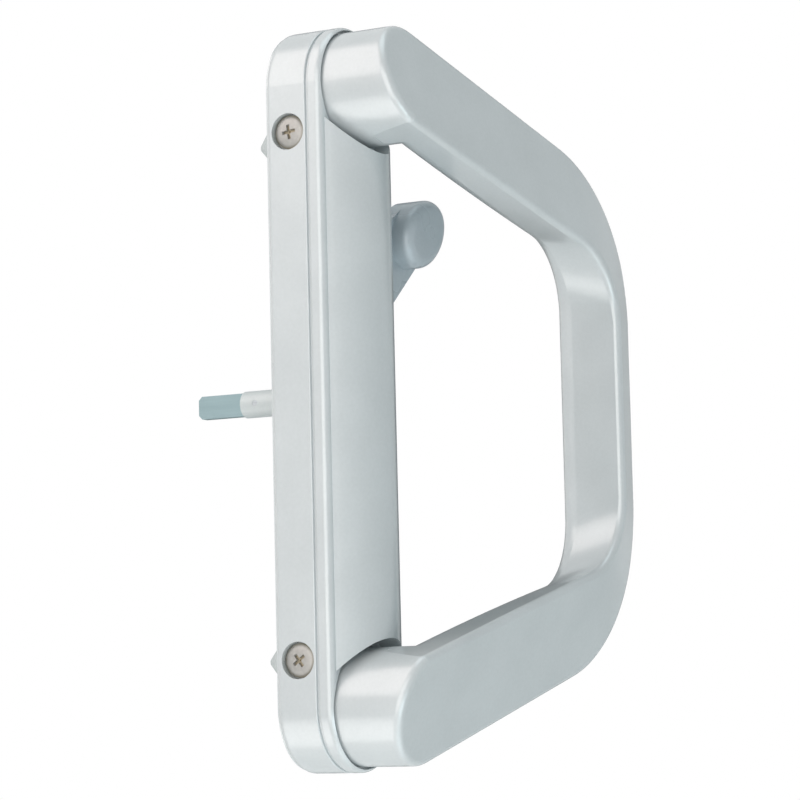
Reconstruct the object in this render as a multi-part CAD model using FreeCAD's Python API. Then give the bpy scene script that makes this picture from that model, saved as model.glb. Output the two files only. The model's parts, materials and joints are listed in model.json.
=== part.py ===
import FreeCAD, Part
import math
import os

os.makedirs("parts", exist_ok=True)

# Frame: +Z runs up the door, -Y points out of the door towards the user and +X is the user's right.
# The origin is the middle of the face that lies on the door. A depth "n" is measured outwards from
# that face, so depth n sits at Y = -n, and a negative depth is inside the door.

# Body: rear housing and front cover
body_height = 191.0
body_width = 33.0
housing_depth = 11.8
groove_width = 0.8
groove_depth = 0.6
rim_depth = 16.5
rim_fillet = 1.8
back_edge_fillet = 1.8
groove_edge_fillet = 0.35
wall = 2.4
floor_depth = 2.5
cavity_end_wall = 6.4
cavity_corner = 4.0
spine_radius = 17.5
spine_crown = 24.4
spine_wall = 2.2

# Pull handle: two round legs and a cranked loop
leg_radius = 15.0
leg_gap = 0.7
leg_scoop_gap = 2.2
leg_seat_depth = 14.5
arm_slope = 17.6
arm_inner_slope = 16.6
arm_inner_offset = 14.0
arm_back_slope = 11.2
arm_back_offset = 16.0
loop_outer_reach = 96.2
grip_width = 12.4
loop_outer_corner = 36.0
loop_inner_corner = 22.0
throat_corner = 18.0
loop_front_depth = 40.5
loop_thickness = 14.5
loop_lean = 7.1
back_lean = 2.7
arm_bevel = 18.0
grip_bevel = 22.0
grip_draft = 7.5
ridge_fillet = 1.6
front_fillet = 2.0
inner_back_fillet = 6.0
outer_back_fillet = 2.0

# Fixings: handle screws in the legs, posts in the door, side screws that clamp the posts
screw_radius = 3.0
screw_head_radius = 5.0
screw_head_height = 3.5
screw_reach_depth = 27.0
screw_hex_flats = 4.0
counterbore_radius = 5.6
counterbore_depth = 5.6
lock_washer_thickness = 1.2
lock_washer_radius = 5.2
post_radius = 3.8
post_root_radius = 4.6
post_inset = 12.0
post_tip_depth = -11.3
post_tip_radius = 1.0
post_cone_length = 2.8
post_socket_depth = 9.0
side_screw_depth = 6.5
side_screw_radius = 2.5
side_screw_dog_radius = 1.8
side_head_radius = 3.9
side_head_height = 2.0
side_recess_radius = 4.7
side_recess_depth = 2.5
cross_length = 4.8
cross_width = 1.2
cross_depth = 1.3

# Snib lever
snib_height = 24.0
snib_pin_radius = 2.5
snib_boss_radius = 4.5
snib_boss_depth = 7.6
snib_washer_thickness = 0.55
snib_barrel_radius = 6.0
snib_paddle_radius = 10.0
snib_paddle_depth = 13.2
snib_paddle_thickness = 4.0
snib_pad_s = 27.0
snib_pad_z = 44.6
snib_pad_half_length = 11.4
snib_pad_half_width = 8.0
snib_pad_front = 23.0
snib_pad_fillet = 2.8
snib_throw = 60.0

# Link between the snib and the spindle
crank_radius = 9.0
crank_rest_angle = 210.0
crank_eye_radius = 3.0
crank_boss_radius = 6.5
crank_thickness = 2.6
link_pin_radius = 1.6
link_half_width = 2.25
link_thickness = 2.4
link_clip_radius = 2.8
link_clip_thickness = 0.45

# Spindle: hub, tang and keeper
hub_radius = 3.5
hub_tail_depth = -17.6
hub_stub_radius = 3.0
hub_stub_depth = 10.6
hub_washer_thickness = 0.3
hub_washer_radius = 6.2
tang_height = 6.0
tang_thickness = 2.6
tang_root_height = 4.0
tang_root_length = 9.0
tang_tip_depth = -31.8
tang_tip_chamfer = 1.0
tang_pin_radius = 0.8
keeper_depth = 8.6
keeper_thickness = 1.6
keeper_screw_s = 9.5
keeper_screw_z = 10.0
keeper_boss_radius = 3.2
keeper_eye_radius = 3.4
keeper_screw_radius = 1.5
keeper_head_radius = 2.8
keeper_head_height = 1.9

# Fits
running_clearance = 0.05
located_clearance = 0.02
thread_clearance = 0.05
hole_clearance = 0.2
end_play = 0.1
swing_clearance = 1.0

OUT = FreeCAD.Vector(0, -1, 0)
UP = FreeCAD.Vector(0, 0, 1)
RIGHT = FreeCAD.Vector(1, 0, 0)

body_radius = body_width / 2
end_z = body_height / 2 - body_radius
cover_back = housing_depth + groove_width
spine_centre = spine_crown - spine_radius
post_height = end_z - post_inset
cavity_half_height = post_height - post_root_radius - cavity_end_wall
loop_inner_reach = loop_outer_reach - grip_width
loop_back_depth = loop_front_depth - loop_thickness


def at(s, n, z):
    """Point s to the right, n out from the door and z up."""
    return FreeCAD.Vector(s, -n, z)


def rod(radius, s, z, n_back, n_front):
    """Round bar that runs out of the door."""
    return Part.makeCylinder(radius, n_front - n_back, at(s, n_back, z), OUT)


def ring(inner, outer, s, z, n_back, n_front):
    """Flat washer that faces out of the door."""
    hole = rod(inner, s, z, n_back, n_front)
    return rod(outer, s, z, n_back, n_front).cut(hole)


def side_rod(radius, s_from, s_to, n, z):
    """Round bar that runs from left to right."""
    return Part.makeCylinder(radius, s_to - s_from, at(s_from, n, z), RIGHT)


def block(s_from, s_to, n_back, n_front, z_from, z_to):
    """Square block."""
    return Part.makeBox(s_to - s_from, n_front - n_back, z_to - z_from, at(s_from, n_front, z_from))


def plate(wire, thickness):
    """Plate that grows out of the door from a closed outline."""
    return Part.Face(wire).extrude(OUT * thickness)


def slot_outline(half_width, centre_z, n):
    """Upright slot with round ends."""
    right_top = at(half_width, n, centre_z)
    left_top = at(-half_width, n, centre_z)
    left_low = at(-half_width, n, -centre_z)
    right_low = at(half_width, n, -centre_z)
    top_arc = Part.Arc(right_top, at(0, n, centre_z + half_width), left_top).toShape()
    low_arc = Part.Arc(left_low, at(0, n, -centre_z - half_width), right_low).toShape()
    left_side = Part.makeLine(left_top, left_low)
    right_side = Part.makeLine(right_low, right_top)
    return Part.Wire([top_arc, left_side, low_arc, right_side])


def rounded_outline(corners, n):
    """Closed outline through corners (s, z, radius)."""
    joints = []
    for i, (s, z, radius) in enumerate(corners):
        here = at(s, n, z)
        before = corners[i - 1]
        after = corners[(i + 1) % len(corners)]
        to_before = (at(before[0], n, before[1]) - here).normalize()
        to_after = (at(after[0], n, after[1]) - here).normalize()
        if radius == 0:
            joints.append((here, None, here))
            continue
        half = to_before.getAngle(to_after) / 2
        run = radius / math.tan(half)
        inwards = (to_before + to_after).normalize()
        middle = here + inwards * (radius / math.sin(half) - radius)
        joints.append((here + to_before * run, middle, here + to_after * run))
    edges = []
    for i, (start, middle, end) in enumerate(joints):
        if middle is not None:
            edges.append(Part.Arc(start, middle, end).toShape())
        following = joints[(i + 1) % len(joints)][0]
        edges.append(Part.makeLine(end, following))
    return Part.Wire(edges)


def taper_bar(first, second, n_back, thickness):
    """Plate whose outline is two circles (s, z, radius) and their common tangents."""
    centre_1 = at(first[0], n_back, first[1])
    centre_2 = at(second[0], n_back, second[1])
    along = centre_2 - centre_1
    sine = (first[2] - second[2]) / along.Length
    cosine = math.sqrt(1 - sine * sine)
    along.normalize()
    across = FreeCAD.Vector(-along.z, 0, along.x)
    left = along * sine + across * cosine
    right = along * sine - across * cosine
    near_arc = Part.Arc(centre_1 + left * first[2], centre_1 - along * first[2], centre_1 + right * first[2])
    far_arc = Part.Arc(centre_2 + right * second[2], centre_2 + along * second[2], centre_2 + left * second[2])
    right_side = Part.makeLine(centre_1 + right * first[2], centre_2 + right * second[2])
    left_side = Part.makeLine(centre_2 + left * second[2], centre_1 + left * first[2])
    return plate(Part.Wire([near_arc.toShape(), right_side, far_arc.toShape(), left_side]), thickness)


def mirrored_pair(shape):
    """The same piece at the top and, mirrored, at the bottom."""
    return [shape, shape.mirror(at(0, 0, 0), UP)]


def edges_where(shape, test):
    """Edges whose middle point passes a test."""
    return [edge for edge in shape.Edges if test(edge.valueAt((edge.FirstParameter + edge.LastParameter) / 2))]


def save(name, *solids):
    """Writes one node."""
    shape = solids[0] if len(solids) == 1 else Part.makeCompound(list(solids))
    shape.exportStep("parts/" + name + ".step")


# Depths that the moving pieces share, from the floor of the housing outwards
hub_plate_depth = floor_depth + hub_washer_thickness + end_play
link_depth = hub_plate_depth + crank_thickness + 2 * end_play
snib_crank_depth = snib_boss_depth + snib_washer_thickness + running_clearance
snib_paddle_front = snib_paddle_depth + snib_paddle_thickness
crank_angle = math.radians(crank_rest_angle)
crank_s = crank_radius * math.cos(crank_angle)
crank_z = crank_radius * math.sin(crank_angle)

# Rear housing: a tray with solid ends
housing = plate(slot_outline(body_radius, end_z, 0), housing_depth)
housing = housing.makeFillet(back_edge_fillet, edges_where(housing, lambda p: abs(p.y) < 0.001))
housing = housing.makeFillet(groove_edge_fillet, edges_where(housing, lambda p: abs(p.y + housing_depth) < 0.001))
lip = plate(slot_outline(body_radius - groove_depth, end_z, 0), cover_back)
cavity_half_width = body_radius - wall
cavity_corners = [
    (cavity_half_width, cavity_half_height, cavity_corner),
    (-cavity_half_width, cavity_half_height, cavity_corner),
    (-cavity_half_width, -cavity_half_height, cavity_corner),
    (cavity_half_width, -cavity_half_height, cavity_corner),
]
housing_cavity = plate(rounded_outline(cavity_corners, floor_depth), cover_back - floor_depth)
housing = housing.fuse(lip).cut(housing_cavity)
snib_boss = rod(snib_boss_radius, 0, snib_height, floor_depth, snib_boss_depth)
keeper_boss = rod(keeper_boss_radius, keeper_screw_s, keeper_screw_z, floor_depth, keeper_depth)
housing = housing.fuse([snib_boss] + mirrored_pair(keeper_boss))
snib_pin_back = floor_depth / 3
hub_bore = rod(hub_radius + running_clearance, 0, 0, 0, floor_depth)
snib_pin_hole = rod(snib_pin_radius + located_clearance, 0, snib_height, snib_pin_back, snib_boss_depth)
keeper_hole_back = floor_depth + end_play
keeper_hole = rod(keeper_screw_radius + thread_clearance, keeper_screw_s, keeper_screw_z, keeper_hole_back, keeper_depth)
screw_hole = rod(screw_radius + hole_clearance, 0, end_z, 0, cover_back)
counterbore = rod(counterbore_radius, 0, end_z, 0, counterbore_depth)
post_socket = rod(post_root_radius + located_clearance, 0, post_height, 0, post_socket_depth)
side_hole = side_rod(side_screw_radius + thread_clearance, -body_radius, 0, side_screw_depth, post_height)
side_recess = side_rod(side_recess_radius, -body_radius, -body_radius + side_recess_depth, side_screw_depth, post_height)
holes = [hub_bore, snib_pin_hole]
for hole in (keeper_hole, screw_hole, counterbore, post_socket, side_hole, side_recess):
    holes += mirrored_pair(hole)
housing = housing.cut(holes).removeSplitter()
save("rear_housing", housing)

# Front cover: rim, domed spine between the legs, and a window for the snib
cover = plate(slot_outline(body_radius, end_z, cover_back), rim_depth - cover_back)
rim_edges = edges_where(cover, lambda p: abs(p.y + rim_depth) < 0.001)
cover = cover.makeFillet(rim_fillet, rim_edges)
cover = cover.makeFillet(groove_edge_fillet, edges_where(cover, lambda p: abs(p.y + cover_back) < 0.001))
spine_half_width = math.sqrt(spine_radius**2 - (rim_depth - spine_centre) ** 2)
spine_low = -end_z + body_radius / 2


def dome(radius, half_width, n_back, z_low):
    """Upright bar with a domed front, centred on the spine's axis."""
    bar = Part.makeCylinder(radius, -2 * z_low, at(0, spine_centre, z_low), UP)
    return bar.common(block(-half_width, half_width, n_back, spine_centre + radius, z_low, -z_low))


spine = dome(spine_radius, spine_half_width, cover_back, spine_low)
scoop = rod(leg_radius + leg_scoop_gap, 0, end_z, rim_depth, spine_crown + 1)
spine = spine.cut(mirrored_pair(scoop))
cover = cover.fuse(spine)
cover_cavity = dome(spine_radius - spine_wall, cavity_half_width, cover_back, -cavity_half_height)
leg_recess = rod(leg_radius + leg_gap, 0, end_z, leg_seat_depth, spine_crown)
leg_recess = leg_recess.cut(block(-body_radius, body_radius, rim_depth, spine_crown + 1, -end_z, end_z - leg_radius))
cover_screw_hole = rod(screw_radius + hole_clearance, 0, end_z, cover_back, leg_seat_depth)
cover = cover.cut([cover_cavity] + mirrored_pair(leg_recess) + mirrored_pair(cover_screw_hole))
pad_angle = math.atan2(snib_pad_z - snib_height, snib_pad_s)
paddle_reach = max(snib_paddle_radius, snib_pad_half_width) + swing_clearance
window_top = snib_height + (body_radius * math.sin(pad_angle) + paddle_reach) / math.cos(pad_angle)
low_angle = pad_angle - math.radians(snib_throw)
window_low = snib_height + (body_radius * math.sin(low_angle) - paddle_reach) / math.cos(low_angle)
window_front = snib_paddle_front + swing_clearance / 2
window = block(0, body_width, cover_back, window_front, window_low, window_top)
cover = cover.cut(window).removeSplitter()
save("front_cover", cover)

# Pull handle: two round legs, and a loop whose outer walls leave them at a tangent
slope = math.radians(arm_slope)
inner_slope = math.radians(arm_inner_slope)
arm_left = -40.0


def loop_corners(offset, angle, reach, corner):
    """Outline of the finger opening, its arms a distance "offset" inside the leg centres."""
    arm_z = end_z - offset / math.cos(angle)
    left_z = arm_z - arm_left * math.tan(angle)
    right_z = arm_z - reach * math.tan(angle)
    return [(arm_left, left_z, 0), (reach, right_z, corner), (reach, -right_z, corner), (arm_left, -left_z, 0)]


def leaned(shape):
    """Leans a piece of the loop away from the door on the right."""
    shape.rotate(at(0, loop_front_depth, 0), UP, -loop_lean)
    return shape


# The front face falls away from the ridge around the opening, so it is one wide cone
ridge_corners = loop_corners(arm_inner_offset, inner_slope, loop_inner_reach, loop_inner_corner)
ridge_outline = rounded_outline(ridge_corners, loop_front_depth)
cone_drop = 30.0
arm_spread = cone_drop / math.tan(math.radians(arm_bevel))
grip_spread = cone_drop / math.tan(math.radians(grip_bevel))
skirt_corners = loop_corners(
    arm_inner_offset - arm_spread, inner_slope, loop_inner_reach + grip_spread, loop_inner_corner + arm_spread
)
skirt_outline = rounded_outline(skirt_corners, loop_front_depth - cone_drop)
front_cone = leaned(Part.makeLoft([skirt_outline, ridge_outline], True, True))
front_skin = front_cone.Shells[0]
ridge_line = leaned(ridge_outline.copy())

# The finger opening narrows towards the door
opening_drop = 24.0
opening_reach = loop_inner_reach - opening_drop * math.tan(math.radians(grip_draft))
mouth_outline = rounded_outline(ridge_corners, loop_front_depth + opening_drop)
throat_corners = loop_corners(arm_back_offset, math.radians(arm_back_slope), opening_reach, throat_corner)
throat_outline = rounded_outline(throat_corners, loop_front_depth - opening_drop)
opening = leaned(Part.makeLoft([throat_outline, ridge_outline, mouth_outline], True, True))

# The back of the loop is flat, and leans less than the front
behind = block(-2 * body_width, 2 * loop_outer_reach, -body_width, loop_back_depth, -body_height, body_height)
back_pivot = at(0, loop_back_depth, 0)
behind.rotate(back_pivot, UP, -back_lean)
back_normal = FreeCAD.Rotation(UP, -back_lean).multVec(OUT)

# Outer outline, from leg centre to leg centre round the right-hand side
tangent_s = leg_radius * math.sin(slope)
tangent_z = end_z + leg_radius * math.cos(slope)
far_z = tangent_z - (loop_outer_reach - tangent_s) * math.tan(slope)
outer_corners = [
    (0, end_z, 0),
    (tangent_s, tangent_z, 0),
    (loop_outer_reach, far_z, loop_outer_corner),
    (loop_outer_reach, -far_z, loop_outer_corner),
    (tangent_s, -tangent_z, 0),
    (0, -end_z, 0),
]
outer_outline = rounded_outline(outer_corners, 0)
loop = plate(outer_outline, 2 * loop_front_depth).cut([opening, behind])
middle_corners = loop_corners(0, slope, (loop_inner_reach + loop_outer_reach) / 2, loop_outer_corner)
middle_face = Part.Face(rounded_outline(middle_corners, 0))


def on_back(p):
    return abs((p - back_pivot).dot(back_normal)) < 0.001 and p.x > tangent_s


def inside_middle(p):
    return middle_face.isInside(at(p.x, 0, p.z), 0.001, True)


def on_front(p):
    return front_skin.distToShape(Part.Vertex(p))[0] < 0.001


def on_ridge(p):
    return ridge_line.distToShape(Part.Vertex(p))[0] < 0.001


def on_outer_wall(p):
    """True on the loop's outer wall and on the legs."""
    leg_distance = math.hypot(p.x, abs(p.z) - end_z)
    return abs(leg_distance - leg_radius) < 0.001 or outer_outline.distToShape(Part.Vertex(p.x, 0, p.z))[0] < 0.001


loop = loop.makeFillet(inner_back_fillet, edges_where(loop, lambda p: on_back(p) and inside_middle(p)))
loop = loop.makeFillet(outer_back_fillet, edges_where(loop, lambda p: on_back(p) and not inside_middle(p)))
leg = rod(leg_radius, 0, end_z, leg_seat_depth, 2 * loop_front_depth)
legs = [piece.cut(opening.cut(behind)) for piece in mirrored_pair(leg)]
handle = loop.fuse(legs).common(front_cone).removeSplitter()
handle = handle.makeFillet(front_fillet, edges_where(handle, lambda p: on_front(p) and on_outer_wall(p)))
handle = handle.makeFillet(ridge_fillet, edges_where(handle, on_ridge))
handle_screw_hole = rod(screw_radius + thread_clearance, 0, end_z, leg_seat_depth, screw_reach_depth + 1)
handle = handle.cut(mirrored_pair(handle_screw_hole))
save("pull_handle", handle)

# Handle screws and lock washers
head_front = counterbore_depth - lock_washer_thickness
head_back = head_front - screw_head_height
screw = rod(screw_head_radius, 0, end_z, head_back, head_front)
screw = screw.makeFillet(1.0, edges_where(screw, lambda p: abs(p.y + head_back) < 0.001))
screw = screw.fuse(rod(screw_radius, 0, end_z, head_front, screw_reach_depth))
hex_radius = screw_hex_flats / math.sqrt(3)
hex_points = []
for i in range(7):
    turn = math.radians(60 * i)
    hex_points.append(at(hex_radius * math.cos(turn), head_back, end_z + hex_radius * math.sin(turn)))
hex_socket = plate(Part.makePolygon(hex_points), screw_head_height / 2)
screw = screw.cut(hex_socket).removeSplitter()
save("handle_screws", *mirrored_pair(screw))
lock_washer = ring(screw_radius + hole_clearance, lock_washer_radius, 0, end_z, head_front, counterbore_depth)
split_width = lock_washer_thickness / 2
split = block(0, body_radius, head_front, counterbore_depth, end_z - split_width, end_z + split_width)
save("lock_washers", *mirrored_pair(lock_washer.cut(split)))

# Mounting posts and the side screws that clamp them
cone_start = post_tip_depth + post_cone_length
post = rod(post_radius, 0, post_height, cone_start, 0)
post_root = rod(post_root_radius, 0, post_height, 0, post_socket_depth - end_play)
post_tip = Part.makeCone(post_tip_radius, post_radius, post_cone_length, at(0, post_tip_depth, post_height), OUT)
dog_depth = post_root_radius / 2
dog_hole = side_rod(
    side_screw_dog_radius + hole_clearance, -post_root_radius, -dog_depth, side_screw_depth, post_height
)
post = post.fuse([post_tip, post_root]).cut(dog_hole).removeSplitter()
save("mounting_posts", *mirrored_pair(post))
head_seat = -body_radius + side_recess_depth
side_screw = side_rod(side_head_radius, head_seat - side_head_height, head_seat, side_screw_depth, post_height)
head_rim = edges_where(side_screw, lambda p: abs(p.x - head_seat + side_head_height) < 0.001)
side_screw = side_screw.makeFillet(0.6, head_rim)
shank_end = -post_root_radius - 2 * end_play
side_shank = side_rod(side_screw_radius, head_seat, shank_end, side_screw_depth, post_height)
side_dog = side_rod(side_screw_dog_radius, shank_end, -dog_depth - end_play, side_screw_depth, post_height)
head_face = head_seat - side_head_height
half_long = cross_length / 2
half_wide = cross_width / 2
cross_bars = []
for reach_n, reach_z in ((half_long, half_wide), (half_wide, half_long)):
    bar = block(
        head_face, head_face + cross_depth,
        side_screw_depth - reach_n, side_screw_depth + reach_n,
        post_height - reach_z, post_height + reach_z,
    )
    cross_bars.append(bar)
side_screw = side_screw.fuse([side_shank, side_dog]).cut(cross_bars).removeSplitter()
save("side_screws", *mirrored_pair(side_screw))

# Snib lever: paddle and oval thumb pad outside, barrel and crank inside
pivot = (0, snib_height, snib_paddle_radius)
pad_eye = (snib_pad_s, snib_pad_z, snib_pad_half_width)
snib = taper_bar(pivot, pad_eye, snib_paddle_depth, snib_paddle_thickness)
pad_centre = at(snib_pad_s, snib_paddle_depth, snib_pad_z)
pad_along = at(math.cos(pad_angle), 0, math.sin(pad_angle))
pad_across = at(-math.sin(pad_angle), 0, math.cos(pad_angle))
pad_tip = pad_centre + pad_along * snib_pad_half_length
pad_side = pad_centre + pad_across * snib_pad_half_width
pad_outline = Part.Wire([Part.Ellipse(pad_tip, pad_side, pad_centre).toShape()])
pad = plate(pad_outline, snib_pad_front - snib_paddle_depth)
pad = pad.makeFillet(snib_pad_fillet, edges_where(pad, lambda p: abs(p.y + snib_pad_front) < 0.001))
barrel = rod(snib_barrel_radius, 0, snib_height, snib_crank_depth, snib_paddle_depth)
crank_pivot = (0, snib_height, crank_boss_radius)
upper_eye = (crank_s, snib_height + crank_z, crank_eye_radius)
snib_crank = taper_bar(crank_pivot, upper_eye, snib_crank_depth, crank_thickness)
snib_bore = rod(snib_pin_radius + running_clearance, 0, snib_height, snib_crank_depth, snib_paddle_front)
upper_pin_hole = rod(
    link_pin_radius + located_clearance, upper_eye[0], upper_eye[1], snib_crank_depth, snib_crank_depth + crank_thickness
)
snib = snib.fuse([pad, barrel, snib_crank]).cut([snib_bore, upper_pin_hole]).removeSplitter()
save("snib_lever", snib)

# Snib pivot: pin, clip in its groove, thrust washer
clip_thickness = 0.7
clip_back = snib_paddle_front + end_play
groove_back = clip_back - running_clearance
groove_front = clip_back + clip_thickness + running_clearance
groove_radius = snib_pin_radius - 0.5
pivot_pin = rod(snib_pin_radius, 0, snib_height, snib_pin_back, groove_front + clip_thickness)
pivot_pin = pivot_pin.cut(ring(groove_radius, snib_pin_radius + 1, 0, snib_height, groove_back, groove_front))
save("snib_pivot_pin", pivot_pin)
clip_radius = 2 * snib_pin_radius - 0.4
clip = ring(groove_radius + running_clearance, clip_radius, 0, snib_height, clip_back, clip_back + clip_thickness)
clip_mouth = block(
    -groove_radius * 0.8, groove_radius * 0.8,
    clip_back, clip_back + clip_thickness,
    snib_height, snib_height + clip_radius,
)
save("snib_clip", clip.cut(clip_mouth))
thrust_back = snib_boss_depth
thrust_washer = ring(
    snib_pin_radius + hole_clearance, snib_boss_radius, 0, snib_height, thrust_back, thrust_back + snib_washer_thickness
)
save("snib_thrust_washer", thrust_washer)

# Link bar with a round eye at each end
lower_eye = (crank_s, crank_z, crank_eye_radius)
link_eyes = []
link_holes = []
for s, z, radius in (upper_eye, lower_eye):
    link_eyes.append(rod(radius, s, z, link_depth, link_depth + link_thickness))
    link_holes.append(rod(link_pin_radius + running_clearance, s, z, link_depth, link_depth + link_thickness))
link = block(
    crank_s - link_half_width, crank_s + link_half_width,
    link_depth, link_depth + link_thickness,
    lower_eye[1], upper_eye[1],
)
save("link_bar", link.fuse(link_eyes).cut(link_holes).removeSplitter())

# Link pins, each pressed into its own crank, and their push-on clips
link_front = link_depth + link_thickness
upper_clip_front = link_depth - end_play
upper_clip_back = upper_clip_front - link_clip_thickness
lower_clip_back = link_front + end_play
lower_clip_front = lower_clip_back + link_clip_thickness
upper_pin_front = snib_crank_depth + crank_thickness - end_play
save("upper_link_pin", rod(link_pin_radius, upper_eye[0], upper_eye[1], upper_clip_back - end_play, upper_pin_front))
save("lower_link_pin", rod(link_pin_radius, lower_eye[0], lower_eye[1], hub_plate_depth, lower_clip_front + end_play))
clip_bore = link_pin_radius + located_clearance
upper_clip = ring(clip_bore, link_clip_radius, upper_eye[0], upper_eye[1], upper_clip_back, upper_clip_front)
lower_clip = ring(clip_bore, link_clip_radius, lower_eye[0], lower_eye[1], lower_clip_back, lower_clip_front)
save("upper_link_clip", upper_clip)
save("lower_link_clip", lower_clip)

# Spindle hub: tail through the housing, crank plate inside, stub in the keeper
hub = rod(hub_radius, 0, 0, hub_tail_depth, hub_plate_depth)
hub_crank = taper_bar((0, 0, crank_boss_radius), lower_eye, hub_plate_depth, crank_thickness)
stub = rod(hub_stub_radius, 0, 0, hub_plate_depth + crank_thickness, hub_stub_depth)
lower_pin_hole = rod(
    link_pin_radius + located_clearance, lower_eye[0], lower_eye[1], hub_plate_depth, hub_plate_depth + crank_thickness
)
half_thick = tang_thickness / 2
root_end = hub_tail_depth + tang_root_length
fit = located_clearance
half_root = tang_root_height / 2
root_slot = block(-half_thick - fit, half_thick + fit, hub_tail_depth, root_end + fit, -half_root - fit, half_root + fit)
pin_depth = hub_tail_depth + tang_root_length / 2
pin_hole = side_rod(tang_pin_radius + fit, -hub_radius, hub_radius, pin_depth, 0)
hub = hub.fuse([hub_crank, stub]).cut([lower_pin_hole, root_slot, pin_hole]).removeSplitter()
save("spindle_hub", hub)

# Drive tang, stepped down at its root, and the pin across it
tang = block(-half_thick, half_thick, tang_tip_depth, hub_tail_depth, -tang_height / 2, tang_height / 2)
tip_edges = edges_where(tang, lambda p: abs(p.y + tang_tip_depth) < 0.001 and abs(abs(p.z) - tang_height / 2) < 0.001)
tang = tang.makeChamfer(tang_tip_chamfer, tip_edges)
tang_root = block(-half_thick, half_thick, hub_tail_depth, root_end, -half_root, half_root)
tang = tang.fuse(tang_root).cut(pin_hole).removeSplitter()
save("drive_tang", tang)
save("tang_pin", side_rod(tang_pin_radius, -hub_radius + end_play, hub_radius - end_play, pin_depth, 0))

# Hub spring washer, keeper plate and its screws
hub_washer = ring(hub_radius + hole_clearance, hub_washer_radius, 0, 0, floor_depth, floor_depth + hub_washer_thickness)
save("hub_spring_washer", hub_washer)
keeper_front = keeper_depth + keeper_thickness
keeper_eyes = [
    (0, 0, hub_stub_radius + wall),
    (keeper_screw_s, keeper_screw_z, keeper_eye_radius),
    (keeper_screw_s, -keeper_screw_z, keeper_eye_radius),
]
keeper_bars = []
for i in range(3):
    keeper_bars.append(taper_bar(keeper_eyes[i - 1], keeper_eyes[i], keeper_depth, keeper_thickness))
keeper_corners = [at(s, keeper_depth, z) for s, z, radius in keeper_eyes]
keeper_web = plate(Part.makePolygon(keeper_corners + keeper_corners[:1]), keeper_thickness)
keeper = keeper_web.fuse(keeper_bars)
keeper_holes = [rod(hub_stub_radius + running_clearance, 0, 0, keeper_depth, keeper_front)]
keeper_screw_hole = rod(keeper_screw_radius + hole_clearance, keeper_screw_s, keeper_screw_z, keeper_depth, keeper_front)
keeper = keeper.cut(keeper_holes + mirrored_pair(keeper_screw_hole)).removeSplitter()
save("hub_keeper", keeper)
keeper_screw = rod(keeper_head_radius, keeper_screw_s, keeper_screw_z, keeper_front, keeper_front + keeper_head_height)
keeper_rim = edges_where(keeper_screw, lambda p: abs(p.y + keeper_front + keeper_head_height) < 0.001)
keeper_screw = keeper_screw.makeFillet(0.8, keeper_rim)
keeper_shank = rod(keeper_screw_radius, keeper_screw_s, keeper_screw_z, keeper_hole_back + end_play, keeper_front)
driver_front = keeper_front + keeper_head_height
driver_half = keeper_screw_radius * 1.1
keeper_cross = []
for reach_s, reach_z in ((driver_half, half_wide / 2), (half_wide / 2, driver_half)):
    bar = block(
        keeper_screw_s - reach_s, keeper_screw_s + reach_s,
        driver_front - keeper_head_height / 2, driver_front,
        keeper_screw_z - reach_z, keeper_screw_z + reach_z,
    )
    keeper_cross.append(bar)
keeper_screw = keeper_screw.fuse(keeper_shank).cut(keeper_cross).removeSplitter()
save("keeper_screws", *mirrored_pair(keeper_screw))
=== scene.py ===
# %% [markdown]
# # A sliding patio door handle
# The handle is a set of die castings with a satin silver powder coat: a narrow body that lies on
# the door, a cranked D grip, a thumb snib inside the D and a zinc-plated tang that works the
# lock. The shapes come from the engineering model, so this lesson is about finish, small
# hardware and light.

# %% Load the engineering model
import json
import math

import bmesh
import bpy
from mathutils import Matrix, Vector


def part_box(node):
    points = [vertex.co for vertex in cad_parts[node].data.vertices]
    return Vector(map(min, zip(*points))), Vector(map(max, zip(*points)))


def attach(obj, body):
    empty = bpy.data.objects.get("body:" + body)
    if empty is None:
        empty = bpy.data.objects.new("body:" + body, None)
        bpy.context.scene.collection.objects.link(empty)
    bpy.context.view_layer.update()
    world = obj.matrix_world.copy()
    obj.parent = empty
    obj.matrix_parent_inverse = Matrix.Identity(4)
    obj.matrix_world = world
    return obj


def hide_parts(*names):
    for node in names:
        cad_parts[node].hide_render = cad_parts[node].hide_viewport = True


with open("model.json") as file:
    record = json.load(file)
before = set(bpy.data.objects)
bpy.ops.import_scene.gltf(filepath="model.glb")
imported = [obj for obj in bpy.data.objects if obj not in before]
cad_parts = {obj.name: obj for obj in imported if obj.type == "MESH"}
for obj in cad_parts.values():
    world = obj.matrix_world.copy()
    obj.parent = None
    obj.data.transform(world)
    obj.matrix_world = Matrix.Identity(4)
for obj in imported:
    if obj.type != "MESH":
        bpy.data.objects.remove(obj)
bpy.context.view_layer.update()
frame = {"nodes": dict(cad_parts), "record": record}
nodes = frame["nodes"]
scene = bpy.context.scene
MM = 0.001

# %% [markdown]
# Colours are easiest to choose as sRGB hex values, the way a paint card gives them. Shaders work
# in linear light, so one function converts them. A second small function adds a node to any
# tree: it sets the node's own fields, and each input either gets a value or is linked to another
# socket.

# %% Colour and node helpers


def linear(hex_colour):
    """Turns an sRGB hex colour such as "#C2C8CA" into linear RGBA."""
    channels = [int(hex_colour[i:i + 2], 16) / 255 for i in (1, 3, 5)]
    return [c / 12.92 if c <= 0.04045 else ((c + 0.055) / 1.055) ** 2.4 for c in channels] + [1.0]


def add_node(tree, kind, inputs=None, **settings):
    """Adds one node: settings are its fields, inputs are values or sockets to link from."""
    node = tree.nodes.new(kind)
    for field, value in settings.items():
        setattr(node, field, value)
    for key, value in (inputs or {}).items():
        if isinstance(value, bpy.types.NodeSocket):
            tree.links.new(value, node.inputs[key])
        else:
            node.inputs[key].default_value = value
    return node


print("silver in linear light:", [round(c, 3) for c in linear("#C2C8CA")[:3]])

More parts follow.
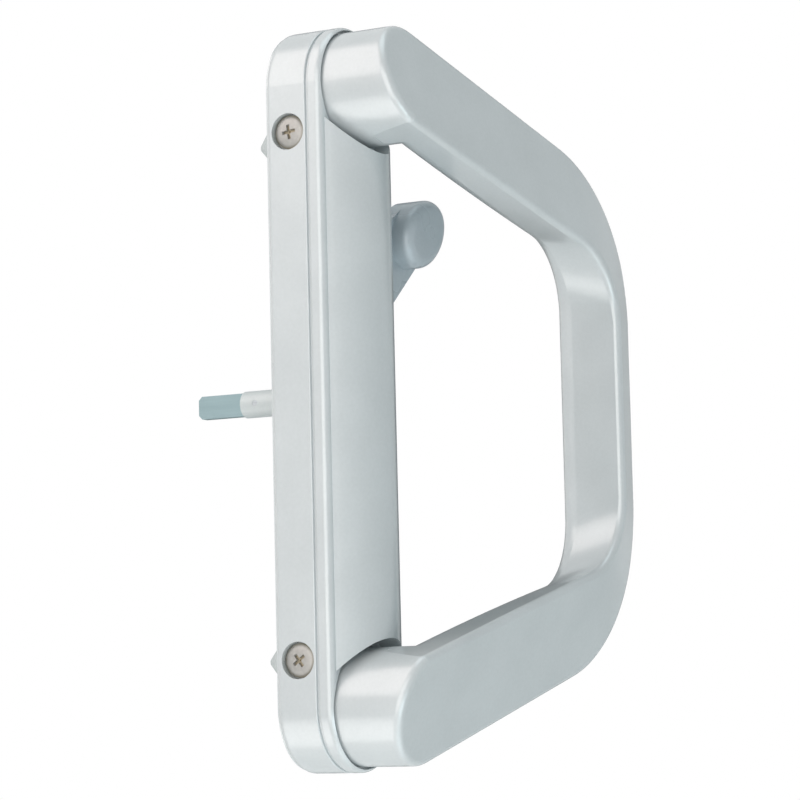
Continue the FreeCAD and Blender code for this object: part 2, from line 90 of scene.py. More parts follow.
# %% [markdown]
# Every finish starts the same way: with an empty tree and the object's own coordinates. Those
# are metres in the frame of the handle, so a pattern is drawn in its real size and stays on its
# piece when the piece moves. A UV map would do as well, but every piece would have to be
# unwrapped first. Noise seldom leaves the middle of its range from 0 to 1, so two spans say
# which part of it is stretched over the tones and over the sheen of a finish.

# %% Start of a material
tone_low, tone_high = 0.3, 0.7
sheen_low, sheen_high = 0.25, 0.75


def new_material(name):
    """A material whose tree holds nothing but the object's own coordinates."""
    material = bpy.data.materials.new(name)
    material.use_nodes = True
    tree = material.node_tree
    tree.nodes.clear()
    place = add_node(tree, "ShaderNodeTexCoord").outputs["Object"]
    return material, tree, place


print("noise is read from", tone_low, "to", tone_high, "for tones")

# %% [markdown]
# Powder coat is paint that is sprayed on as dry powder and baked. It flows into a skin with a
# faint orange peel about a millimetre across, and the silver kind holds fine aluminium flake,
# which makes the colour a little uneven. All of it is noise: a slow one shifts colour and sheen,
# a fine one adds the flake, and a third one lifts the surface. Real flake is finer than a tenth
# of a millimetre, too fine to show, so it is drawn several times as coarse.

# %% Powder coat


def powder_coat(name, dark, light, roughness, metallic, flake_mm, peel_mm, peel_height_mm):
    """Baked powder coat with flake and orange peel."""
    material, tree, place = new_material(name)
    cloud_mm = 18.0
    flake_share = 0.35
    sheen_range = 0.015
    skin_specular = 0.25
    cloud = add_node(
        tree, "ShaderNodeTexNoise", {"Vector": place, "Scale": 1 / (cloud_mm * MM), "Detail": 2.0}
    )
    flake = add_node(
        tree, "ShaderNodeTexNoise", {"Vector": place, "Scale": 1 / (flake_mm * MM), "Detail": 1.0}
    )
    peel = add_node(
        tree, "ShaderNodeTexNoise", {"Vector": place, "Scale": 1 / (peel_mm * MM), "Detail": 1.0}
    )
    mottle = add_node(
        tree, "ShaderNodeMix",
        {0: flake_share, 2: cloud.outputs["Fac"], 3: flake.outputs["Fac"]}, data_type="FLOAT",
    )
    colour = add_node(tree, "ShaderNodeValToRGB", {"Fac": mottle.outputs[0]})
    colour.color_ramp.elements[0].position = tone_low
    colour.color_ramp.elements[1].position = tone_high
    colour.color_ramp.elements[0].color = linear(dark)
    colour.color_ramp.elements[1].color = linear(light)
    sheen = add_node(
        tree, "ShaderNodeMapRange",
        {"Value": cloud.outputs["Fac"], "From Min": sheen_low, "From Max": sheen_high,
         "To Min": roughness - sheen_range, "To Max": roughness + sheen_range},
    )
    skin = add_node(
        tree, "ShaderNodeBump",
        {"Height": peel.outputs["Fac"], "Strength": 1.0, "Distance": peel_height_mm * MM},
    )
    shader = add_node(
        tree, "ShaderNodeBsdfPrincipled",
        {"Base Color": colour.outputs["Color"], "Roughness": sheen.outputs["Result"],
         "Metallic": metallic, "Specular IOR Level": skin_specular,
         "Normal": skin.outputs["Normal"]},
    )
    add_node(tree, "ShaderNodeOutputMaterial", {"Surface": shader.outputs["BSDF"]})
    return material


print("powder coat is ready")

# %% [markdown]
# Three pieces of paint work come from that one recipe. The castings that a hand touches have the
# full satin coat, the posts get what powder reaches them, and the snib has a colour of its own.
# Separate recipes would drift apart, so only the numbers differ.

# %% Coats of the castings, the posts and the snib
# Satin silver: clear bright bands along the round legs from the flake, and no mirror image.
silver_coat = powder_coat(
    "satin_silver_powder_coat", "#C2C8CA", "#CAD0D2",
    roughness=0.25, metallic=0.20, flake_mm=0.8, peel_mm=1.6, peel_height_mm=0.004,
)
# Thin silver: the posts are out of sight on the door, so their coat is duller and less even.
post_coat = powder_coat(
    "thin_silver_powder_coat", "#B3BBBC", "#C1C8C9",
    roughness=0.58, metallic=0.05, flake_mm=0.8, peel_mm=1.2, peel_height_mm=0.015,
)
# Grey: a darker blue grey with a soft sheen, so that the thumb finds the snib.
snib_coat = powder_coat(
    "grey_powder_coat", "#A7B2B8", "#B3BDC3",
    roughness=0.28, metallic=0.15, flake_mm=0.8, peel_mm=1.6, peel_height_mm=0.006,
)
print("coats:", silver_coat.name, post_coat.name, snib_coat.name)

# %% [markdown]
# The small hardware is steel with a thin skin. Zinc plate that was passivated is a cool,
# slightly blue grey, bright zinc is paler, and spring steel is only oiled, so it stays dark. All
# of them keep the drawing marks of the bar they were cut from: noise that a Mapping node
# stretches along one axis. Anisotropic gloss could stand for them, but it would show no single
# mark. The marks are really some hundredths of a millimetre apart, and are drawn coarser, so
# that they show at all.

# %% Plated steel


def plated_steel(name, dark, light, roughness, grain_mm, stretch):
    """Plated steel with fine marks along Y, the way out of the door."""
    material, tree, place = new_material(name)
    polish_range = 0.03
    mark_strength = 0.6
    mark_height_mm = 0.01
    along = add_node(
        tree, "ShaderNodeMapping", {"Vector": place, "Scale": (1.0, 1 / stretch, 1.0)}
    )
    grain = add_node(
        tree, "ShaderNodeTexNoise",
        {"Vector": along.outputs["Vector"], "Scale": 1 / (grain_mm * MM), "Detail": 3.0},
    )
    colour = add_node(tree, "ShaderNodeValToRGB", {"Fac": grain.outputs["Fac"]})
    colour.color_ramp.elements[0].position = tone_low
    colour.color_ramp.elements[1].position = tone_high
    colour.color_ramp.elements[0].color = linear(dark)
    colour.color_ramp.elements[1].color = linear(light)
    polish = add_node(
        tree, "ShaderNodeMapRange",
        {"Value": grain.outputs["Fac"], "From Min": sheen_low, "From Max": sheen_high,
         "To Min": roughness - polish_range, "To Max": roughness + polish_range},
    )
    marks = add_node(
        tree, "ShaderNodeBump",
        {"Height": grain.outputs["Fac"], "Strength": mark_strength,
         "Distance": mark_height_mm * MM},
    )
    shader = add_node(
        tree, "ShaderNodeBsdfPrincipled",
        {"Base Color": colour.outputs["Color"], "Roughness": polish.outputs["Result"],
         "Metallic": 1.0, "Normal": marks.outputs["Normal"]},
    )
    add_node(tree, "ShaderNodeOutputMaterial", {"Surface": shader.outputs["BSDF"]})
    return material


print("plated steel is ready")

# %% [markdown]
# Each kind of plate is the same recipe with its own greys. The hub is not steel but a zinc
# casting without paint. Its skin is uneven like a matt coat, so the powder coat recipe makes it,
# with a rougher surface and the skin of the mould in place of the orange peel.

# %% Plates of the hardware, and the casting of the hub
# Passivated zinc: an even cool blue grey with long faint marks.
tang_zinc = plated_steel(
    "blue_passivated_zinc_plate", "#869A9E", "#8EA2A6", roughness=0.45, grain_mm=1.4, stretch=14.0
)
# Bright zinc: a paler, sharper grey, on the screws and pins.
bright_zinc_look = {
    "dark": "#A8AEB2", "light": "#C4C9CC", "roughness": 0.32, "grain_mm": 0.6, "stretch": 8.0,
}
bright_zinc = plated_steel("bright_zinc_plate", **bright_zinc_look)
# Oiled spring steel: dark and a little wet.
spring_steel = plated_steel(
    "oiled_spring_steel", "#4A4B4D", "#66686B", roughness=0.40, grain_mm=0.5, stretch=6.0
)
# Plain cast zinc: pale, matt and slightly cloudy.
cast_zinc = powder_coat(
    "plain_die_cast_zinc", "#BBC3C4", "#C5CCCD",
    roughness=0.5, metallic=0.2, flake_mm=0.7, peel_mm=1.2, peel_height_mm=0.02,
)
print("metals:", [m.name for m in (tang_zinc, bright_zinc, spring_steel, cast_zinc)])

# %% [markdown]
# The handle screws at the back have a hexagon socket. Its shade is painted into the plate, which
# turns dark grey with depth, and only that makes the hexagon readable on a white set. Their heads
# face the door, so the depth in the socket is the Y coordinate. The zinc plate from above gets
# one more mix.

# %% Zinc plate with painted shade in the socket
# Grey and depths of the painted shade in the hexagon socket.
socket_shade_grey = "#4B4C4E"
socket_shade_from_mm = 0.5
socket_shade_full_mm = 0.9
screw_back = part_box("handle_screws")[1].y
# Bright zinc again, with painted shade that darkens the hexagon socket.
zinc_plate_with_painted_socket_shade = plated_steel("bright_zinc_plate_with_painted_socket_shade", **bright_zinc_look)
tree = zinc_plate_with_painted_socket_shade.node_tree
zinc_shader = next(node for node in tree.nodes if node.type == "BSDF_PRINCIPLED")
unshaded_zinc = zinc_shader.inputs["Base Color"].links[0].from_socket
own_place = add_node(tree, "ShaderNodeTexCoord").outputs["Object"]
towards_door = add_node(tree, "ShaderNodeSeparateXYZ", {"Vector": own_place}).outputs["Y"]
# Painted shade: the deeper in the socket, the more the plate turns to dark grey.
painted_socket_shade = add_node(
    tree, "ShaderNodeMapRange",
    {"Value": towards_door, "From Min": screw_back - socket_shade_full_mm * MM,
     "From Max": screw_back - socket_shade_from_mm * MM, "To Min": 1.0, "To Max": 0.0},
)
zinc_with_socket_shade = add_node(
    tree, "ShaderNodeMix",
    {0: painted_socket_shade.outputs["Result"], 6: unshaded_zinc, 7: linear(socket_shade_grey)}, data_type="RGBA",
)
tree.links.new(zinc_with_socket_shade.outputs[2], zinc_shader.inputs["Base Color"])
print("oil from", socket_shade_from_mm, "mm below the heads of the handle screws")

# %% [markdown]
# The side screws are nickel plated. A driver wears their recess, and dirt stays in it, so the
# plate turns brown there. Both heads look the same way, so the depth below the head is the X
# coordinate, and a ramp along it mixes the two colours. The scuffs of handling are drawn coarser
# than they are, so that they show.

# %% Dull nickel with a tarnished recess
screw_low, screw_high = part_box("side_screws")
# Dull nickel: a warm grey that scatters the light, and brown where dirt stays.
dull_nickel, tree, place = new_material("dull_nickel_plate")
scuff_mm = 0.8
scuff_strength = 0.6
scuff_height_mm = 0.02
smoothest, dullest = 0.34, 0.56
bare_metal_share = 0.5
tarnish_brown = "#A2977F"
tarnish_from_mm = 0.35
tarnish_full_mm = 1.0
wear = add_node(
    tree, "ShaderNodeTexNoise", {"Vector": place, "Scale": 1 / (scuff_mm * MM), "Detail": 3.0}
)
depth_in = add_node(tree, "ShaderNodeSeparateXYZ", {"Vector": place})
tarnish = add_node(
    tree, "ShaderNodeMapRange",
    {"Value": depth_in.outputs["X"], "From Min": screw_low.x + tarnish_from_mm * MM,
     "From Max": screw_low.x + tarnish_full_mm * MM},
)
plate = add_node(tree, "ShaderNodeValToRGB", {"Fac": wear.outputs["Fac"]})
plate.color_ramp.elements[0].color = linear("#949390")
plate.color_ramp.elements[1].color = linear("#B0AFAB")
aged = add_node(
    tree, "ShaderNodeMix",
    {0: tarnish.outputs["Result"], 6: plate.outputs["Color"], 7: linear(tarnish_brown)},
    data_type="RGBA",
)
dullness = add_node(
    tree, "ShaderNodeMapRange",
    {"Value": wear.outputs["Fac"], "To Min": smoothest, "To Max": dullest},
)
scuffs = add_node(
    tree, "ShaderNodeBump",
    {"Height": wear.outputs["Fac"], "Strength": scuff_strength, "Distance": scuff_height_mm * MM},
)
shader = add_node(
    tree, "ShaderNodeBsdfPrincipled",
    {"Base Color": aged.outputs[2], "Roughness": dullness.outputs["Result"],
     "Metallic": bare_metal_share, "Normal": scuffs.outputs["Normal"]},
)
add_node(tree, "ShaderNodeOutputMaterial", {"Surface": shader.outputs["BSDF"]})
print("tarnish from", tarnish_from_mm, "mm below the heads of the side screws")

# %% [markdown]
# Each piece of the engineering model names a material slot in its record. One dictionary says
# which finish a slot gets, so a new colour is one line. Two pieces have a finish of their own:
# the pin through the tang is plated, although its steel is that of the clips, and the handle
# screws have painted shade in their sockets.

# %% Put each finish on its pieces
finish_of_slot = {
    "silver_casting": silver_coat,
    "post_casting": post_coat,
    "snib_grey": snib_coat,
    "nickel_screw": dull_nickel,
    "hub_casting": cast_zinc,
    "tang_zinc": tang_zinc,
    "zinc_steel": bright_zinc,
    "spring_steel": spring_steel,
}
# The handle screws get the zinc plate with painted shade in the socket.
own_finish = {"tang_pin": bright_zinc, "handle_screws": zinc_plate_with_painted_socket_shade}
for subpart in frame["record"]["subparts"]:
    slot_finish = finish_of_slot[subpart["material_slot"]]
    mesh = nodes[subpart["node"]].data
    mesh.materials.clear()
    mesh.materials.append(own_finish.get(subpart["node"], slot_finish))

# %% [markdown]
# Two screws in the left side clamp the mounting posts. Each is a turned blank with a rounded
# head and a dog point, so the blank is drawn as half an outline and spun round its axis, as a
# lathe would do. A stack of cylinders would be quicker, but it would have neither the dome nor
# the bevel.

# %% Turn the blank of a side screw
screw_length = (screw_high.x - screw_low.x) / MM
head_radius = 4.3
head_height = 2.0
head_dome = [
    (0.0, 0.0), (1.6, -0.04), (2.7, -0.13), (3.3, -0.27), (3.9, -0.5), (head_radius, -0.95),
]
root_radius = 2.1
dog_radius = 1.75
dog_length = 2.4
dog_step = 0.1
dog_top = dog_length - screw_length
point_bevel = 0.3
screw_outline = head_dome + [
    (head_radius, -head_height), (root_radius, -head_height), (root_radius, dog_top),
    (dog_radius, dog_top - dog_step), (dog_radius, point_bevel - screw_length),
    (dog_radius - point_bevel, -screw_length), (0.0, -screw_length),
]


def turned(name, outline, steps):
    """Spins an outline of (radius, height) in mm round the Z axis into a closed mesh."""
    weld_mm = 0.005
    shape = bmesh.new()
    corners = [shape.verts.new((radius * MM, 0, height * MM)) for radius, height in outline]
    lines = [shape.edges.new(pair) for pair in zip(corners, corners[1:])]
    bmesh.ops.spin(
        shape, geom=corners + lines, cent=(0, 0, 0), axis=(0, 0, 1), angle=math.tau, steps=steps
    )
    bmesh.ops.remove_doubles(shape, verts=shape.verts, dist=weld_mm * MM)
    bmesh.ops.recalc_face_normals(shape, faces=shape.faces)
    mesh = bpy.data.meshes.new(name)
    shape.to_mesh(mesh)
    shape.free()
    blank = bpy.data.objects.new(name, mesh)
    scene.collection.objects.link(blank)
    return blank


screw_blank = turned("screw_blank", screw_outline, steps=48)
print("blank:", round(screw_length, 1), "mm long,", len(screw_blank.data.polygons), "faces")

# %% [markdown]
# The rest of the screw repeats, so a Geometry Nodes tree makes it. Its sizes are named inputs,
# so one tree could make any screw of this kind. Metres go in, because that is what the whole set
# is in.

# %% Tree for the cross-recess screws
screw_tree = bpy.data.node_groups.new("cross_recess_screws", "GeometryNodeTree")
screw_sizes = {
    "Recess Length": 4.9 * MM, "Recess Width": 1.15 * MM, "Recess Depth": 0.9 * MM,
    "Recess Taper": 0.6, "Pit Depth": 1.26 * MM, "Pit Length": 2.1 * MM, "Pit Point": 0.1 * MM,
    "Thread Radius": root_radius * MM, "Thread Height": 0.34 * MM,
    "Thread Pitch": 0.8 * MM, "Thread Length": 8.0 * MM,
    "Spacing": 134 * MM, "Turn Upper": math.radians(7), "Turn Lower": math.radians(36),
}
input_kinds = {"Blank": "NodeSocketObject", "Finish": "NodeSocketMaterial"}
input_kinds.update({size_name: "NodeSocketFloat" for size_name in screw_sizes})
socket_of = {}
for input_name, kind in input_kinds.items():
    socket = screw_tree.interface.new_socket(name=input_name, in_out="INPUT", socket_type=kind)
    socket_of[input_name] = socket.identifier
screw_tree.interface.new_socket(name="Screws", in_out="OUTPUT", socket_type="NodeSocketGeometry")
given = add_node(screw_tree, "NodeGroupInput").outputs
print("tree", screw_tree.name, "with", len(socket_of), "inputs")

# %% [markdown]
# A driver fits the cross recess, which a punch makes in the head: four wings that get narrower
# with depth, round a pointed pit. The wings are two crossed bars. A bar could be drawn corner by
# corner, but it is easier to take a box and draw in those of its corners that lie below the face
# of the head.

# %% Shape the wings of the punch
depth_twice = add_node(
    screw_tree, "ShaderNodeMath", {0: given["Recess Depth"], 1: 2.0}, operation="MULTIPLY"
)
bar_size = add_node(
    screw_tree, "ShaderNodeCombineXYZ",
    {"X": given["Recess Length"], "Y": given["Recess Width"], "Z": depth_twice.outputs["Value"]},
)
bar = add_node(screw_tree, "GeometryNodeMeshCube", {"Size": bar_size.outputs["Vector"]})
corner = add_node(screw_tree, "GeometryNodeInputPosition").outputs["Position"]
corner_height = add_node(screw_tree, "ShaderNodeSeparateXYZ", {"Vector": corner}).outputs["Z"]
is_deep = add_node(
    screw_tree, "FunctionNodeCompare", {0: corner_height, 1: 0.0}, operation="LESS_THAN"
)
narrowing = add_node(
    screw_tree, "ShaderNodeCombineXYZ",
    {"X": given["Recess Taper"], "Y": given["Recess Taper"], "Z": 1.0},
)
drawn_in = add_node(
    screw_tree, "ShaderNodeVectorMath",
    {0: corner, 1: narrowing.outputs["Vector"]}, operation="MULTIPLY",
)
wing = add_node(
    screw_tree, "GeometryNodeSetPosition",
    {"Geometry": bar.outputs["Mesh"], "Selection": is_deep.outputs["Result"],
     "Position": drawn_in.outputs["Vector"]},
)
cross_wing = add_node(
    screw_tree, "GeometryNodeTransform",
    {"Geometry": wing.outputs["Geometry"], "Rotation": (0, 0, math.pi / 2)},
)
print("wings", round(screw_sizes["Recess Length"] / MM, 1), "mm across")

# %% [markdown]
# The pit between the wings is a cone with its point down. Bars and cone are then taken from the
# blank with one Boolean, which is what the punch does to the head. Modelling the recess face by
# face would give the same shape with many more lines.

# %% Punch the recess
pit = add_node(
    screw_tree, "GeometryNodeMeshCone",
    {"Vertices": 24, "Radius Top": given["Recess Width"], "Radius Bottom": given["Pit Point"],
     "Depth": given["Pit Length"]},
)
pit_drop = add_node(
    screw_tree, "ShaderNodeMath", {0: given["Pit Depth"], 1: -1.0}, operation="MULTIPLY"
)
pit_place = add_node(screw_tree, "ShaderNodeCombineXYZ", {"Z": pit_drop.outputs["Value"]})
sunk_pit = add_node(
    screw_tree, "GeometryNodeTransform",
    {"Geometry": pit.outputs["Mesh"], "Translation": pit_place.outputs["Vector"]},
)
cutters = add_node(screw_tree, "GeometryNodeJoinGeometry")
for cutter in (wing, cross_wing, sunk_pit):
    screw_tree.links.new(cutter.outputs["Geometry"], cutters.inputs["Geometry"])
blank_shape = add_node(screw_tree, "GeometryNodeObjectInfo", {"Object": given["Blank"]})
recessed = add_node(
    screw_tree, "GeometryNodeMeshBoolean",
    {"Mesh 1": blank_shape.outputs["Geometry"], "Mesh 2": cutters.outputs["Geometry"],
     "Self Intersection": True},
    operation="DIFFERENCE", solver="EXACT",
)
print("recess from", len(cutters.inputs["Geometry"].links), "cutters")

# %% [markdown]
# The thread is a ridge that climbs round the shank. Bump in a material would only fake it and
# would be missing from the mesh, so a small triangle is swept along a spiral. The ridge reaches
# into the shank, so no gap opens between the two.

# %% Wind the thread
turns = add_node(
    screw_tree, "ShaderNodeMath",
    {0: given["Thread Length"], 1: given["Thread Pitch"]}, operation="DIVIDE",
)
spiral = add_node(
    screw_tree, "GeometryNodeCurveSpiral",
    {"Resolution": 32, "Rotations": turns.outputs["Value"], "Height": given["Thread Length"],
     "Start Radius": given["Thread Radius"], "End Radius": given["Thread Radius"]},
)
upright = add_node(
    screw_tree, "GeometryNodeSetCurveNormal", {"Curve": spiral.outputs["Curve"]}, mode="Z_UP"
)
ridge = add_node(
    screw_tree, "GeometryNodeCurvePrimitiveCircle",
    {"Resolution": 3, "Radius": given["Thread Height"]},
)
thread = add_node(
    screw_tree, "GeometryNodeCurveToMesh",
    {"Curve": upright.outputs["Curve"], "Profile Curve": ridge.outputs["Curve"],
     "Fill Caps": True},
)
bare_neck = 0.6
thread_end = -(head_height + bare_neck) * MM
thread_drop = add_node(
    screw_tree, "ShaderNodeMath", {0: thread_end, 1: given["Thread Length"]}, operation="SUBTRACT"
)
thread_place = add_node(screw_tree, "ShaderNodeCombineXYZ", {"Z": thread_drop.outputs["Value"]})
thread_low = add_node(
    screw_tree, "GeometryNodeTransform",
    {"Geometry": thread.outputs["Mesh"], "Translation": thread_place.outputs["Vector"]},
)
print("thread of", round(screw_sizes["Thread Length"] / screw_sizes["Thread Pitch"], 1), "turns")

# %% [markdown]
# Turned faces look smooth and cut edges look sharp. Shading everything smooth would blur the
# recess, and shading everything flat would show the steps of the lathe, so only edges with a
# small bend are shaded smooth.

# %% Join the screw and shade it
one_screw = add_node(screw_tree, "GeometryNodeJoinGeometry")
for shape_socket in (recessed.outputs["Mesh"], thread_low.outputs["Geometry"]):
    screw_tree.links.new(shape_socket, one_screw.inputs["Geometry"])
smooth = add_node(
    screw_tree, "GeometryNodeSetShadeSmooth",
    {"Geometry": one_screw.outputs["Geometry"]}, domain="FACE",
)
bend = add_node(screw_tree, "GeometryNodeInputMeshEdgeAngle").outputs["Unsigned Angle"]
sharp_from_degrees = 35
soft_edge = add_node(
    screw_tree, "FunctionNodeCompare",
    {0: bend, 1: math.radians(sharp_from_degrees)}, operation="LESS_THAN",
)
creased = add_node(
    screw_tree, "GeometryNodeSetShadeSmooth",
    {"Geometry": smooth.outputs["Geometry"], "Shade Smooth": soft_edge.outputs["Result"]},
    domain="EDGE",
)
print("edges are sharp from", sharp_from_degrees, "degrees")

# %% [markdown]
# The finished screw is set on two points, one above the other, with its head to the left. No two
# screws stop at the same angle, so each has its own turn. The tree ends in real faces that carry
# their finish, because instances would be lost on the way out of Blender.

# %% Set the two screws
half_down = add_node(
    screw_tree, "ShaderNodeMath", {0: given["Spacing"], 1: -0.5}, operation="MULTIPLY"
)
screw_depth = (screw_low.y + screw_high.y) / 2
first_place = add_node(
    screw_tree, "ShaderNodeCombineXYZ",
    {"X": screw_low.x, "Y": screw_depth, "Z": half_down.outputs["Value"]},
)
step = add_node(screw_tree, "ShaderNodeCombineXYZ", {"Z": given["Spacing"]})
places = add_node(
    screw_tree, "GeometryNodeMeshLine",
    {"Count": 2, "Start Location": first_place.outputs["Vector"],
     "Offset": step.outputs["Vector"]},
)
set_in = add_node(
    screw_tree, "GeometryNodeInstanceOnPoints",
    {"Points": places.outputs["Mesh"], "Instance": creased.outputs["Geometry"],
     "Rotation": (0, -math.pi / 2, 0)},
)
number = add_node(screw_tree, "GeometryNodeInputIndex").outputs["Index"]
own_turn = add_node(
    screw_tree, "ShaderNodeMix",
    {0: number, 2: given["Turn Lower"], 3: given["Turn Upper"]}, data_type="FLOAT",
)
own_spin = add_node(screw_tree, "ShaderNodeCombineXYZ", {"Z": own_turn.outputs[0]})
tightened = add_node(
    screw_tree, "GeometryNodeRotateInstances",
    {"Instances": set_in.outputs["Instances"], "Rotation": own_spin.outputs["Vector"],
     "Local Space": True},
)
both = add_node(
    screw_tree, "GeometryNodeRealizeInstances", {"Geometry": tightened.outputs["Instances"]}
)
plated = add_node(
    screw_tree, "GeometryNodeSetMaterial",
    {"Geometry": both.outputs["Geometry"], "Material": given["Finish"]},
)
add_node(screw_tree, "NodeGroupOutput", {"Screws": plated.outputs["Geometry"]})
print("screw tree:", len(screw_tree.nodes), "nodes")

# %% [markdown]
# The tree only describes the screws, and the export wants real faces. So the tree runs once on
# an empty object, and what it makes is kept as a plain mesh. It takes the place of the
# engineering model's plain screws, which are hidden, moves with the body and has their finish.

# %% Make the screws a plain mesh
side_screws = bpy.data.objects.new("cross_recess_side_screws", bpy.data.meshes.new("screw_start"))
scene.collection.objects.link(side_screws)
maker = side_screws.modifiers.new("screws", "NODES")
maker.node_group = screw_tree
maker[socket_of["Blank"]] = screw_blank
maker[socket_of["Finish"]] = dull_nickel
for size_name, size in screw_sizes.items():
    maker[socket_of[size_name]] = size
made = side_screws.evaluated_get(bpy.context.evaluated_depsgraph_get())
screw_mesh = bpy.data.meshes.new_from_object(made)
side_screws.modifiers.clear()
side_screws.data = screw_mesh
bpy.data.objects.remove(screw_blank)
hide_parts("side_screws")
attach(side_screws, "body")
print("side screws:", len(screw_mesh.polygons), "faces")

# %% [markdown]
# The set is a white studio. What the camera sees of it, in the open or in a reflection, should
# be white, but as a lamp so much white would wash out the handle. A Light Path node tells those
# rays apart, and floor and room both use it.

# %% Tell seen rays from soft light


def seen_rays(tree):
    """1 for rays from the camera, from a reflection or through glass, and 0 for soft light."""
    path = add_node(tree, "ShaderNodeLightPath").outputs
    mirrored = add_node(
        tree, "ShaderNodeMath",
        {0: path["Is Camera Ray"], 1: path["Is Glossy Ray"]}, operation="MAXIMUM",
    ).outputs["Value"]
    return add_node(
        tree, "ShaderNodeMath",
        {0: mirrored, 1: path["Is Transmission Ray"]}, operation="MAXIMUM",
    ).outputs["Value"]


print("seen rays: camera, glossy and transmission")

# %% [markdown]
# The handle hangs in its own frame, as it would on a door, so the floor lies well below it. It
# is a large disc with matt white paint, which glows a little where it is seen, so that it joins
# the white background without more light on the handle.

# %% Floor
floor_z = -0.70
floor_radius = 8.0
floor_sides = 96
floor_angles = [math.tau * i / floor_sides for i in range(floor_sides)]
floor_rim = [
    (floor_radius * math.cos(angle), floor_radius * math.sin(angle), floor_z)
    for angle in floor_angles
]
floor_mesh = bpy.data.meshes.new("floor")
floor_mesh.from_pydata(floor_rim, [], [range(floor_sides)])
floor = bpy.data.objects.new("floor", floor_mesh)
scene.collection.objects.link(floor)
# Matt floor paint: white without gloss, a little uneven from the roller.
floor_paint, tree, place = new_material("matt_white_floor_paint")
roller_mm = 40.0
floor_lift = 0.45
paint_roughness = 0.8
pure_white = "#FFFFFF"
uneven = add_node(tree, "ShaderNodeTexNoise", {"Vector": place, "Scale": 1 / (roller_mm * MM)})
tone = add_node(tree, "ShaderNodeValToRGB", {"Fac": uneven.outputs["Fac"]})
tone.color_ramp.elements[0].color = linear("#F5F0EE")
tone.color_ramp.elements[1].color = linear("#F9F4F2")
floor_glow = add_node(
    tree, "ShaderNodeMath", {0: seen_rays(tree), 1: floor_lift}, operation="MULTIPLY"
)
matt = add_node(
    tree, "ShaderNodeBsdfPrincipled",
    {"Base Color": tone.outputs["Color"], "Roughness": paint_roughness,
     "Emission Color": linear(pure_white), "Emission Strength": floor_glow.outputs["Value"]},
)
add_node(tree, "ShaderNodeOutputMaterial", {"Surface": matt.outputs["BSDF"]})
floor_mesh.materials.append(floor_paint)
print("floor at", floor_z, "m")

# %% [markdown]
# The room is white where it is seen. As a lamp it is dimmer, and lighter on the right, at the
# back and above, the way white walls and a ceiling would be. Three lamps could do the same, but
# a wall has no edge that shows in the paint.

# %% World
world = bpy.data.worlds.new("white_studio")
scene.world = world
world.use_nodes = True
tree = world.node_tree
tree.nodes.clear()
cool_white = "#EEFCFF"
even_level = 0.05
wall_levels = (0.50, 0.45, 0.25)
direction = add_node(tree, "ShaderNodeTexCoord").outputs["Generated"]
towards = add_node(
    tree, "ShaderNodeVectorMath", {0: direction, 1: (0, 0, 0)}, operation="MAXIMUM"
)
from_walls = add_node(
    tree, "ShaderNodeVectorMath",
    {0: towards.outputs["Vector"], 1: wall_levels}, operation="DOT_PRODUCT",
)
ambient = add_node(
    tree, "ShaderNodeMath", {0: from_walls.outputs["Value"], 1: even_level}, operation="ADD"
)
seen = seen_rays(tree)
level = add_node(
    tree, "ShaderNodeMapRange", {"Value": seen, "To Min": ambient.outputs["Value"], "To Max": 1.0}
)
tint = add_node(
    tree, "ShaderNodeMix",
    {0: seen, 6: linear(cool_white), 7: linear(pure_white)}, data_type="RGBA",
)
sky = add_node(
    tree, "ShaderNodeBackground", {"Color": tint.outputs[2], "Strength": level.outputs["Result"]}
)
add_node(tree, "ShaderNodeOutputWorld", {"Surface": sky.outputs["Background"]})
print("right wall, back wall and ceiling:", wall_levels)

# %% [markdown]
# Satin paint shows its shape by broad bright bands, so every lamp is a large soft box; small
# lamps would give hard spots. The one on the left lights the narrow side, two panels behind draw
# the bands along the round legs, and three weak boxes lift the top, the underside and the front.

# %% Soft boxes


def soft_box(name, place, aim, width, height, watts, colour):
    """A rectangular lamp that points at a place and stays out of the picture."""
    lamp = bpy.data.lights.new(name, "AREA")
    lamp.shape = "RECTANGLE"
    lamp.size = width
    lamp.size_y = height
    lamp.energy = watts
    lamp.color = linear(colour)[:3]
    holder = bpy.data.objects.new(name, lamp)
    holder.location = place
    holder.rotation_euler = (Vector(aim) - Vector(place)).to_track_quat("-Z", "Y").to_euler()
    holder.visible_camera = False
    scene.collection.objects.link(holder)


middle = (0.03, -0.02, 0.0)
sun_white = "#FFF0EB"
warm_white = "#FFF7F3"
# Name, place, width and height in metres, watts and colour.
lamp_plan = [
    ("left_box", (-1.0, -0.25, 0.10), 0.9, 1.2, 6.0, warm_white),
    ("high_panel", (-0.50, 0.46, 0.60), 0.8, 0.85, 3.85, sun_white),
    ("low_panel", (-0.40, 0.40, -0.556), 0.5, 0.6, 1.3, warm_white),
    ("top_box", (0.0, -0.2, 1.0), 0.7, 0.7, 2.2, cool_white),
    ("bottom_box", (0.0, -0.2, -0.65), 0.6, 0.6, 0.9, cool_white),
    ("front_fill", (-0.50, -0.80, -0.45), 0.7, 0.5, 2.5, cool_white),
]
for name, place, width, height, watts, colour in lamp_plan:
    soft_box(name, place, middle, width, height, watts, colour)
print("lamps:", [lamp[0] for lamp in lamp_plan])

# %% [markdown]
# On a white set the edges of a pale thing drown in white. Photographers stand a dark card beside
# it, out of the picture: faces seen at a glancing angle mirror the card and turn into darker
# strips. Here they draw the front of the grip. Darker paint would be wrong from every other
# side. The card shows in reflections and nowhere else.

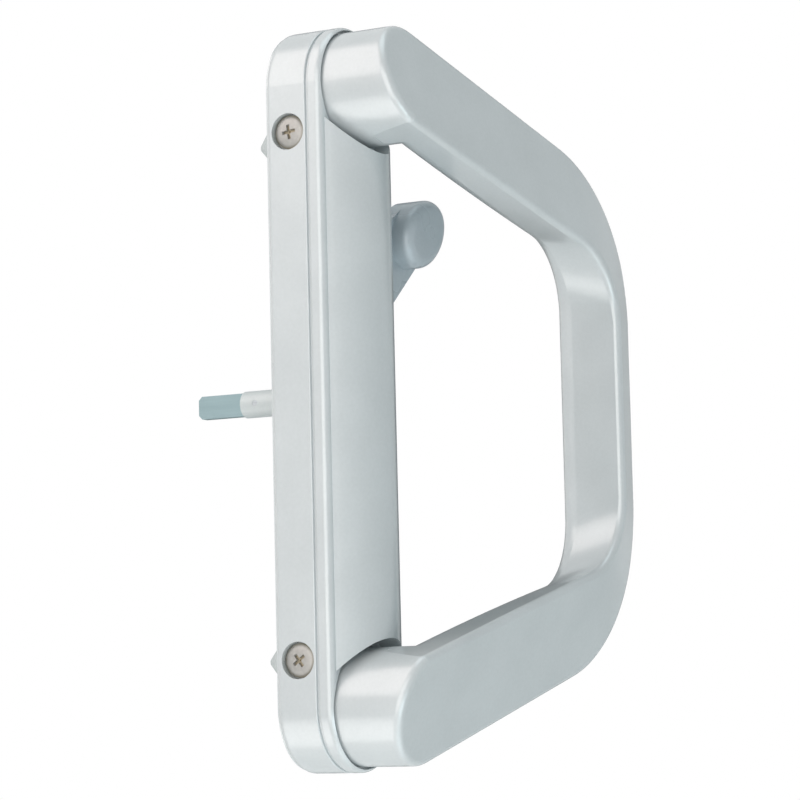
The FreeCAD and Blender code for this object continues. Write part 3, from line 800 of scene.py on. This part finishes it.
# %% Dark card
card_place = Vector((0.80, 0.40, 0.09))
card_width = 0.8
card_height = 1.0
card_turn = (Vector(middle) - card_place).to_track_quat("Z", "Y").to_matrix().to_4x4()
card_face = Matrix.Translation(card_place) @ card_turn
card_corners = [
    card_face @ Vector((side * card_width / 2, end * card_height / 2, 0))
    for side, end in ((-1, -1), (1, -1), (1, 1), (-1, 1))
]
card_mesh = bpy.data.meshes.new("dark_card")
card_mesh.from_pydata(card_corners, [], [range(len(card_corners))])
dark_card = bpy.data.objects.new("dark_card", card_mesh)
dark_card.visible_camera = False
dark_card.visible_diffuse = False
dark_card.visible_shadow = False
scene.collection.objects.link(dark_card)
# Black felt: no gloss, and a nap that makes its grey slightly uneven.
black_felt, tree, place = new_material("black_felt")
nap_mm = 3.0
felt_roughness = 0.95
felt_specular = 0.1
nap = add_node(tree, "ShaderNodeTexNoise", {"Vector": place, "Scale": 1 / (nap_mm * MM)})
felt_tone = add_node(tree, "ShaderNodeValToRGB", {"Fac": nap.outputs["Fac"]})
felt_tone.color_ramp.elements[0].color = linear("#303133")
felt_tone.color_ramp.elements[1].color = linear("#3C3D40")
felt = add_node(
    tree, "ShaderNodeBsdfPrincipled",
    {"Base Color": felt_tone.outputs["Color"], "Roughness": felt_roughness,
     "Specular IOR Level": felt_specular},
)
add_node(tree, "ShaderNodeOutputMaterial", {"Surface": felt.outputs["BSDF"]})
card_mesh.materials.append(black_felt)
print("dark card", card_width, "by", card_height, "m")

# %% [markdown]
# The camera stands on the left and a little below, with a long lens and a slight roll. Place,
# roll and focal length in pixels were fitted to the outline of the handle. A long lens from far
# away keeps the edges of the grip nearly parallel.

# %% Camera
camera_place = Vector((-0.6543, -0.4002, -0.0786))
camera_aim = Vector((0.0129, -0.0209, -0.0004))
camera_roll = math.radians(-1.35)
picture_px = 800
focal_px = 2990.0
sensor_mm = 36.0
lens = bpy.data.cameras.new("camera")
lens.sensor_width = sensor_mm
lens.lens = sensor_mm * focal_px / picture_px
lens.clip_start = 0.01
camera = bpy.data.objects.new("camera", lens)
turn = (camera_aim - camera_place).to_track_quat("-Z", "Y").to_matrix().to_4x4()
roll = Matrix.Rotation(camera_roll, 4, "Z")
camera.matrix_world = Matrix.Translation(camera_place) @ turn @ roll
scene.collection.objects.link(camera)
bpy.context.scene.camera = camera
scene.view_settings.view_transform = "Standard"
print("lens", round(lens.lens, 1), "mm")
